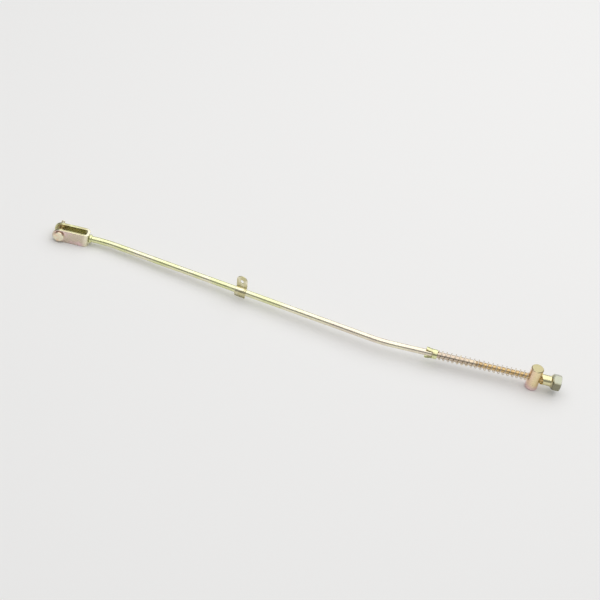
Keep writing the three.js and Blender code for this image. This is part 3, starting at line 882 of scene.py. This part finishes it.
def spring_surface(sizes):
    """A round wire carried along a helix about X: (place, R sin, R cos) of the turn's angle. The
    place grows by the pitch, which falls towards both ends over the end turns."""
    steps = sizes.turns * COIL_ROWS
    middle = (np.arange(steps) + 0.5) / COIL_ROWS
    from_end = np.minimum(np.minimum(middle, sizes.turns - middle), sizes.end_turns) / sizes.end_turns
    pitch = sizes.end_pitch + (1 - sizes.end_pitch) * from_end
    advance = np.concatenate([[0], np.cumsum(pitch)])
    wire = sizes.wire_radius
    place = SPRING_LOW[0] + wire + (SPRING_LENGTH - 2 * wire) * advance / advance[-1]
    angle_round = np.arange(steps + 1) * 2 * np.pi / COIL_ROWS
    outer = (SPRING_HIGH[2] - SPRING_LOW[2]) / 2
    radial = circle(angle_round, Z, Y)
    path = RIGHT_AXIS + place[:, None] * X + (outer - wire) * radial
    along = np.gradient(path, axis=0)
    along /= np.linalg.norm(along, axis=1, keepdims=True)
    across = np.cross(along, radial)
    size = np.full(len(path) + 2, wire)
    size[[0, -1]] = 0
    ends = np.concatenate([[0], np.arange(len(path)), [len(path) - 1]])
    section = circle(full_turn(WIRE_SIDES), radial[ends][:, None], across[ends][:, None])
    return [(path[ends][:, None] + size[:, None, None] * section, True)]


# Adjusting nut

def nut_surface(sizes, rod):
    """A height over cylinder coordinates: rows of (along, radius) that depend on the angle. The nose
    is cut by a groove of radius g across it, so it starts at depth - g + sqrt(g^2 - height^2). The
    hexagon's radius is half its width / cos(angle from a flat's middle), and its chamfers are a
    cone, which meets each flat where the two radii are equal."""
    bearings = full_turn(NUT_COLUMNS)
    total = NUT_HIGH[0] - NUT_LOW[0]
    hex_start = sizes.sleeve_length + sizes.shoulder_length
    groove = BARREL_RADIUS + sizes.saddle_gap
    tip = ROD_HIGH[0] - NUT_LOW[0]

    def nose(radius):
        height = radius * np.sin(bearings)
        return np.clip(sizes.saddle_depth - groove + np.sqrt(groove ** 2 - height ** 2), 0, None)

    def ring(along, radius):
        return np.broadcast_to(along, bearings.shape), np.broadcast_to(radius, bearings.shape)

    edge = sizes.edge
    rim = sizes.sleeve_radius - edge
    rings = [ring(nose(radius), radius) for radius in np.linspace(sizes.bore + edge, rim, 5)]
    for turn in QUARTER[1:]:
        rings.append(ring(nose(rim) + edge * (1 - np.cos(turn)), rim + edge * np.sin(turn)))
    sleeve_end = sizes.sleeve_length
    for along in np.linspace(sleeve_end / 2, sleeve_end, 5):
        rings.append(ring(along, sizes.sleeve_radius))
    shoulder = rounded_outline([
        (sleeve_end, sizes.sleeve_radius, 0),
        (hex_start - 2 * edge, sizes.shoulder_radius, edge),
        (hex_start, sizes.shoulder_radius, 0),
    ])
    rings += [ring(along, radius) for along, radius in shoulder[1:]]
    from_flat = (bearings - np.pi / 6) % (np.pi / 3) - np.pi / 6
    hexagon = sizes.across_flats / 2 / np.cos(from_flat)
    corner = sizes.across_flats / 2 / np.cos(np.pi / 6)
    cone = sizes.hex_chamfer * (hexagon - sizes.face_radius) / (corner - sizes.face_radius)
    rings += [
        ring(hex_start, sizes.face_radius),
        ring(hex_start + cone, hexagon),
        ring(total - cone, hexagon),
        ring(total, sizes.face_radius),
        ring(total, rod.radius + 2 * edge),
    ]

    thread_start = tip + rod.thread_pitch / 2
    turns = (total - thread_start) / rod.thread_pitch
    for along in np.linspace(total, thread_start, int(turns * THREAD_ROWS)):
        inward = rod.thread_depth * (1 - screw_groove(along / rod.thread_pitch + 0.5, bearings))
        mouth = np.clip(total - along, 0, None)
        crest = rod.radius + edge - inward
        rings.append(ring(along, np.maximum(crest, rod.radius + edge - mouth)))
    rings += [
        ring(thread_start, sizes.bore), ring(nose(sizes.bore) + edge, sizes.bore), rings[0],
    ]
    along = np.stack([a for a, _ in rings])[..., None]
    radius = np.stack([r for _, r in rings])[..., None]
    start = NUT_LOW[0] * X + RIGHT_AXIS
    return [(start + along * X + radius * circle(bearings, Y, Z), True)]


# Finishes

ROUGHNESS = (0.17, 0.32)  # of the plating's smoothest and its dullest patches
SMEAR = 0.004  # width of those patches
GRAIN = 0.0009  # width of the fine grain
GRAIN_DEPTH = 0.0001
GRAIN_STRENGTH = 0.06
PATCHES = {  # width, noise where a patch sets in and where it is full, seed
    "rod": (0.016, 0.4, 0.62, 2.0),
    "cheek": (0.008, 0.42, 0.6, 4.0),
    "fork": (0.006, 0.33, 0.55, 9.0),
    "pin": (0.006, 0.45, 0.6, 5.0),
    "tab": (0.007, 0.45, 0.62, 6.0),
    "seat": (0.005, 0.45, 0.62, 8.0),
    "spring": (0.012, 0.5, 0.7, 11.0),
    "nut": (0.007, 0.5, 0.7, 14.0),
}
BORDERS = {  # where a tint sets in and where it is full, along X or Y
    "silver": (-0.03, 0.05),
    # painted shade on the rod under the spring's coils
    "umber": (SEAT_LOW[0], SEAT_HIGH[0]),
    "far_side": (FORK_LOW[1] + 0.0002, FORK_LOW[1] + 0.0012),
    # painted highlight on the fork's curved fold
    "fold": (FORK_HIGH[0] - 0.006, FORK_HIGH[0] - 0.002),
    "sleeve": (NUT_LOW[0] + 0.009, NUT_LOW[0] + 0.011),
}
BARREL_BORDERS = {  # the same, from the barrel's middle
    # the sand and gold bands across X are partly painted shading of the round side, and the top is
    # partly painted shade
    "sand": (-0.003, 0.002), "gold": (0.003, 0.0075), "foot": (-0.002, -0.008), "top": (0.0112, 0.012),
}
NUT_BORDERS = {  # from the nut's middle, and the tint's share on either side
    # painted shade on the nut's lower near facets
    "low": (0.0045, 0.0055, 1, 0), "near": (-0.004, -0.003, 1, 0),
}
THREAD_BORDER = 0.01  # how far the thread's tint fades to either side of its start


class Plating:
    """Builds one plated finish: a metal whose colour is mixed from tints by soft noise and by place."""

    def __init__(self, name):
        self.material = bpy.data.materials.new(name)
        self.material.use_nodes = True
        self.nodes = self.material.node_tree.nodes
        self.links = self.material.node_tree.links
        self.shader = self.nodes["Principled BSDF"]
        self.place = self.nodes.new("ShaderNodeTexCoord").outputs["Object"]

    def mapped(self, centre):
        """Object coordinates measured from a centre."""
        mapping = self.nodes.new("ShaderNodeMapping")
        mapping.vector_type = "TEXTURE"
        mapping.inputs["Location"].default_value = tuple(centre)
        self.links.new(self.place, mapping.inputs["Vector"])
        return mapping.outputs["Vector"]

    def noise(self, feature, detail, seed):
        """Soft noise from 0 to 1 whose features are about that many metres wide."""
        noise = self.nodes.new("ShaderNodeTexNoise")
        noise.noise_dimensions = "4D"
        noise.inputs["Scale"].default_value = 1 / feature
        noise.inputs["Detail"].default_value = detail
        noise.inputs["W"].default_value = seed
        self.links.new(self.place, noise.inputs["Vector"])
        return noise.outputs["Fac"]

    def part(self, vector, axis):
        """One coordinate of a vector."""
        split = self.nodes.new("ShaderNodeSeparateXYZ")
        self.links.new(vector, split.inputs["Vector"])
        return split.outputs[axis]

    def spread(self, value, low, high, to_low=0.0, to_high=1.0):
        """A value moved from one range to another, held at its ends."""
        spread = self.nodes.new("ShaderNodeMapRange")
        spread.inputs["From Min"].default_value = low
        spread.inputs["From Max"].default_value = high
        spread.inputs["To Min"].default_value = to_low
        spread.inputs["To Max"].default_value = to_high
        self.links.new(value, spread.inputs["Value"])
        return spread.outputs["Result"]

    def patches(self, name):
        """Share of the second tint in soft patches."""
        feature, low, high, seed = PATCHES[name]
        return self.spread(self.noise(feature, detail=3.0, seed=seed), low, high)

    def blended(self, share, first, second):
        """Two tints or colour outputs mixed by a share."""
        mix = self.nodes.new("ShaderNodeMix")
        mix.data_type = "RGBA"
        self.links.new(share, mix.inputs["Factor"])
        for socket, tint in ((mix.inputs[6], first), (mix.inputs[7], second)):
            if isinstance(tint, bpy.types.NodeSocket):
                self.links.new(tint, socket)
            else:
                socket.default_value = (*tint, 1)
        return mix.outputs[2]

    def wavered(self, value, feature, amount, seed):
        """A value with soft noise of that amount added, so that a border on it isn't straight."""
        waver = self.nodes.new("ShaderNodeMath")
        waver.operation = "MULTIPLY_ADD"
        self.links.new(self.noise(feature, detail=2.0, seed=seed), waver.inputs[0])
        waver.inputs[1].default_value = amount
        self.links.new(value, waver.inputs[2])
        return waver.outputs["Value"]

    def finished(self, tint):
        """Sets the tint, an uneven roughness and a fine grain, and returns the material."""
        self.shader.inputs["Metallic"].default_value = 1.0
        self.links.new(tint, self.shader.inputs["Base Color"])
        smear = self.spread(self.noise(SMEAR, detail=4.0, seed=7.0), 0.3, 0.7, *ROUGHNESS)
        self.links.new(smear, self.shader.inputs["Roughness"])
        relief = self.nodes.new("ShaderNodeBump")
        relief.inputs["Strength"].default_value = GRAIN_STRENGTH
        relief.inputs["Distance"].default_value = GRAIN_DEPTH
        self.links.new(self.noise(GRAIN, detail=3.0, seed=3.0), relief.inputs["Height"])
        self.links.new(relief.outputs["Normal"], self.shader.inputs["Normal"])
        return self.material


def rod_plating(tints, thread_start):
    """Yellow-green on the fork's half, colourless on the other, with painted shade under the spring for
    its coils' shadow, and bronze on the thread."""
    plating = Plating("rod_plating")
    place = plating.part(plating.place, "X")
    along = plating.wavered(place, feature=0.02, amount=0.03, seed=1.0)
    patches = plating.patches("rod")
    green = plating.blended(patches, tints.green, tints.pale)
    silver = plating.blended(patches, tints.silver, tints.pale)
    tint = plating.blended(plating.spread(along, *BORDERS["silver"]), green, silver)
    # Painted shade: the rod darkens under the spring, where its coils shade it.
    tint = plating.blended(plating.spread(place, *BORDERS["umber"]), tint, tints.umber)
    thread = plating.spread(place, thread_start - THREAD_BORDER, thread_start + THREAD_BORDER)
    return plating.finished(plating.blended(thread, tint, tints.bronze))


def fork_plating(tints):
    """Pinkish grey on the near cheek, green and olive elsewhere, and a pale painted highlight on the
    curved fold.
    """
    plating = Plating("fork_plating")
    cheek = plating.blended(plating.patches("cheek"), tints.taupe, tints.lilac)
    rest = plating.blended(plating.patches("fork"), tints.green, tints.olive)
    far_side = plating.spread(plating.part(plating.place, "Y"), *BORDERS["far_side"])
    # Painted highlight: a pale tint on the curved fold, where the bend catches the light.
    fold = plating.spread(plating.part(plating.place, "X"), *BORDERS["fold"])
    tint = plating.blended(far_side, cheek, rest)
    return plating.finished(plating.blended(fold, tint, tints.pale))


def patched_plating(piece, tint, patch_tint):
    """One tint with patches of another."""
    plating = Plating(piece + "_plating")
    return plating.finished(plating.blended(plating.patches(piece), tint, patch_tint))


def barrel_plating(tints):
    """Pink at one side, sandy in the middle and gold at the other, plating hues laid out partly as
    painted shading of the round side, with an olive top darkened as painted shade and lilac towards the
    foot."""
    plating = Plating("barrel_plating")
    borders = BARREL_BORDERS
    vector = plating.mapped(BARREL_MIDDLE)
    across = plating.wavered(plating.part(vector, "X"), feature=0.006, amount=0.004, seed=12.0)
    # Partly painted shading: pink, sand and gold bands across the round side, held along X.
    tint = plating.blended(plating.spread(across, *borders["sand"]), tints.pink, tints.sand)
    tint = plating.blended(plating.spread(across, *borders["gold"]), tint, tints.gold)
    upward = plating.part(vector, "Z")
    foot = plating.wavered(upward, feature=0.006, amount=0.005, seed=13.0)
    tint = plating.blended(plating.spread(foot, *borders["foot"]), tint, tints.lilac)
    # Partly painted shade: the top face takes an olive tint darkened against the light it catches.
    top = plating.spread(upward, *borders["top"])
    return plating.finished(plating.blended(top, tint, tints.olive_top_and_shade))


def nut_plating(tints):
    """Grey-green, with painted shade on the lower near facets and a straw-coloured sleeve."""
    plating = Plating("nut_plating")
    hexagon = plating.blended(plating.patches("nut"), tints.grey, tints.olive)
    vector = plating.mapped(NUT_MIDDLE)
    # Painted shade: a dark tint on the lower near facets, where they reflect the shadowed floor.
    upward = plating.wavered(plating.part(vector, "Z"), feature=0.004, amount=0.001, seed=15.0)
    dark = plating.blended(plating.spread(upward, *NUT_BORDERS["low"]), hexagon, tints.painted_nut_shade)
    near = plating.spread(plating.part(vector, "Y"), *NUT_BORDERS["near"])
    hexagon = plating.blended(near, hexagon, dark)
    sleeve = plating.spread(plating.part(plating.place, "X"), *BORDERS["sleeve"])
    return plating.finished(plating.blended(sleeve, tints.straw, hexagon))


# Operators

class BuildBar(bpy.types.Operator):
    """Adds the bent rod with its riveted head, collar and thread"""

    bl_idname = "brake_rod.bar"
    bl_label = "Rod"

    def execute(self, context):
        thread_start = SEAT_HIGH[0] + settings(context, "bar").thread_start
        material = rod_plating(settings(context, "finish"), thread_start)
        grids = rod_surface(settings(context, "bar"), settings(context, "fork"))
        add_piece("rod_bar", grids, material, "rod", "rod")
        return {"FINISHED"}


class BuildFork(bpy.types.Operator):
    """Adds the folded fork"""

    bl_idname = "brake_rod.fork"
    bl_label = "Fork"

    def execute(self, context):
        material = fork_plating(settings(context, "finish"))
        grids = fork_surface(settings(context, "fork"))
        add_piece("fork_strip", grids, material, "fork", "fork")
        return {"FINISHED"}


class BuildPins(bpy.types.Operator):
    """Adds the headed pin and its split pin"""

    bl_idname = "brake_rod.pins"
    bl_label = "Fork pin and split pin"

    def execute(self, context):
        tints = settings(context, "finish")
        sizes = settings(context, "pin")
        material = patched_plating("pin", tints.pale, tints.pink)
        pin = pin_surface(sizes)
        add_piece("headed_pin", pin, material, "fork_pin", "fork_pin")
        material = patched_plating("spring", tints.wire, tints.sand)
        wire = split_pin_surface(sizes)
        add_piece("split_pin_wire", wire, material, "fork_pin", "split_pin")
        return {"FINISHED"}


class BuildTab(bpy.types.Operator):
    """Adds the switch tab, wrapped round the rod"""

    bl_idname = "brake_rod.tab"
    bl_label = "Switch tab"

    def execute(self, context):
        tints = settings(context, "finish")
        material = patched_plating("tab", tints.olive, tints.pale)
        grids = tab_surface(settings(context, "tab"), settings(context, "bar"))
        add_piece("tab_strip", grids, material, "rod", "switch_tab")
        return {"FINISHED"}


class BuildSeat(bpy.types.Operator):
    """Adds the spring's seat with its two ears"""

    bl_idname = "brake_rod.seat"
    bl_label = "Spring seat"

    def execute(self, context):
        tints = settings(context, "finish")
        material = patched_plating("seat", tints.green, tints.olive)
        grids = seat_surface(settings(context, "seat"))
        add_piece("seat_collar", grids, material, "rod", "spring_seat")
        return {"FINISHED"}


class BuildSpring(bpy.types.Operator):
    """Adds the coil spring"""

    bl_idname = "brake_rod.spring"
    bl_label = "Spring"

    def execute(self, context):
        tints = settings(context, "finish")
        material = patched_plating("spring", tints.wire, tints.sand)
        grids = spring_surface(settings(context, "spring"))
        spring = add_piece("spring_coil", grids, material, "spring", "spring")
        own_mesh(spring)
        return {"FINISHED"}


class BuildBarrel(bpy.types.Operator):
    """Adds the cross-drilled barrel"""

    bl_idname = "brake_rod.barrel"
    bl_label = "Barrel"

    def execute(self, context):
        material = barrel_plating(settings(context, "finish"))
        grids = barrel_surface(settings(context, "barrel"))
        add_piece("barrel_bar", grids, material, "barrel", "barrel")
        return {"FINISHED"}


class BuildNut(bpy.types.Operator):
    """Adds the adjusting nut with its saddle-shaped nose"""

    bl_idname = "brake_rod.nut"
    bl_label = "Adjusting nut"

    def execute(self, context):
        material = nut_plating(settings(context, "finish"))
        grids = nut_surface(settings(context, "nut"), settings(context, "bar"))
        add_piece("nut_turned", grids, material, "adjusting_nut", "adjusting_nut")
        return {"FINISHED"}


FLOOR_ROUGHNESS = 0.9
FLOOR_GLOSS = 0.1
SKY = (0.95, 0.97, 1.0, 1)


def add_softbox(stage):
    """A rectangular area light overhead that faces the camera's target."""
    data = bpy.data.lights.new("softbox", "AREA")
    data.shape = "RECTANGLE"
    data.size, data.size_y = stage.softbox_width, stage.softbox_depth
    data.energy = stage.softbox_power
    softbox = bpy.data.objects.new("softbox", data)
    bpy.context.scene.collection.objects.link(softbox)
    place = Vector(stage.softbox_place)
    softbox.location = place
    softbox.rotation_euler = (Vector(stage.target) - place).to_track_quat("-Z", "Y").to_euler()


def camera_matrix(stage):
    """Where the camera stands and how it is turned: it looks at the target from the azimuth and
    elevation, and the roll turns its right and up directions in the picture's plane."""
    azimuth, elevation, roll = stage.azimuth, stage.elevation, stage.roll
    ahead = np.array([
        np.sin(azimuth) * np.cos(elevation), np.cos(azimuth) * np.cos(elevation), -np.sin(elevation),
    ])
    level = np.array([np.cos(azimuth), -np.sin(azimuth), 0])
    upright = np.cross(level, ahead)
    right = level * np.cos(roll) + upright * np.sin(roll)
    up = upright * np.cos(roll) - level * np.sin(roll)
    matrix = np.eye(4)
    matrix[:3, 0], matrix[:3, 1], matrix[:3, 2] = right, up, -ahead
    matrix[:3, 3] = np.array(stage.target) - ahead * stage.distance
    return Matrix(matrix.tolist())


class BuildStage(bpy.types.Operator):
    """Adds the floor, the light and the camera"""

    bl_idname = "brake_rod.stage"
    bl_label = "Stage"

    def execute(self, context):
        stage = settings(context, "stage")
        half = stage.floor_size / 2
        mesh = bpy.data.meshes.new("floor")
        corners = [(-half, -half, 0), (half, -half, 0), (half, half, 0), (-half, half, 0)]
        mesh.from_pydata(corners, [], [(0, 1, 2, 3)])
        material = bpy.data.materials.new("floor_paper")
        material.use_nodes = True
        shader = material.node_tree.nodes["Principled BSDF"]
        shader.inputs["Base Color"].default_value = (*stage.floor, 1)
        shader.inputs["Roughness"].default_value = FLOOR_ROUGHNESS
        shader.inputs["Specular IOR Level"].default_value = FLOOR_GLOSS
        mesh.materials.append(material)
        floor = bpy.data.objects.new("floor", mesh)
        context.scene.collection.objects.link(floor)

        add_softbox(stage)
        world = bpy.data.worlds.new("studio")
        world.use_nodes = True
        background = world.node_tree.nodes["Background"]
        background.inputs["Color"].default_value = SKY
        background.inputs["Strength"].default_value = stage.ambient
        context.scene.world = world
        context.scene.view_settings.view_transform = "Standard"

        data = bpy.data.cameras.new("camera")
        data.lens = stage.focal_length
        camera = bpy.data.objects.new("camera", data)
        context.scene.collection.objects.link(camera)
        camera.matrix_world = camera_matrix(stage)
        context.scene.camera = camera
        return {"FINISHED"}


OPERATORS = (
    BuildBar, BuildFork, BuildPins, BuildTab, BuildSeat, BuildSpring, BuildBarrel, BuildNut, BuildStage,
)


class BRAKE_ROD_PT_sidebar(bpy.types.Panel):
    """Lists the operators and the sizes"""

    bl_label = "Brake Rod"
    bl_space_type = "VIEW_3D"
    bl_region_type = "UI"
    bl_category = SIDEBAR_TAB

    def draw(self, context):
        for operator in OPERATORS:
            self.layout.operator(operator.bl_idname)
        for name, group in SETTINGS.items():
            box = self.layout.box()
            box.label(text=name.capitalize())
            for key in group.__annotations__:
                box.prop(settings(context, name), key)


CLASSES = (*SETTINGS.values(), *OPERATORS, BRAKE_ROD_PT_sidebar)


def register():
    for kind in CLASSES:
        bpy.utils.register_class(kind)
    for name, group in SETTINGS.items():
        setattr(bpy.types.Scene, PREFIX + name, PointerProperty(type=group))


def unregister():
    for name in SETTINGS:
        delattr(bpy.types.Scene, PREFIX + name)
    for kind in reversed(CLASSES):
        bpy.utils.unregister_class(kind)


def main():
    """Builds every piece and the stage."""
    register()
    build = bpy.ops.brake_rod
    build.bar()
    build.fork()
    build.pins()
    build.tab()
    build.seat()
    build.spring()
    build.barrel()
    build.nut()
    build.stage()


if __name__ == "__main__":
    main()
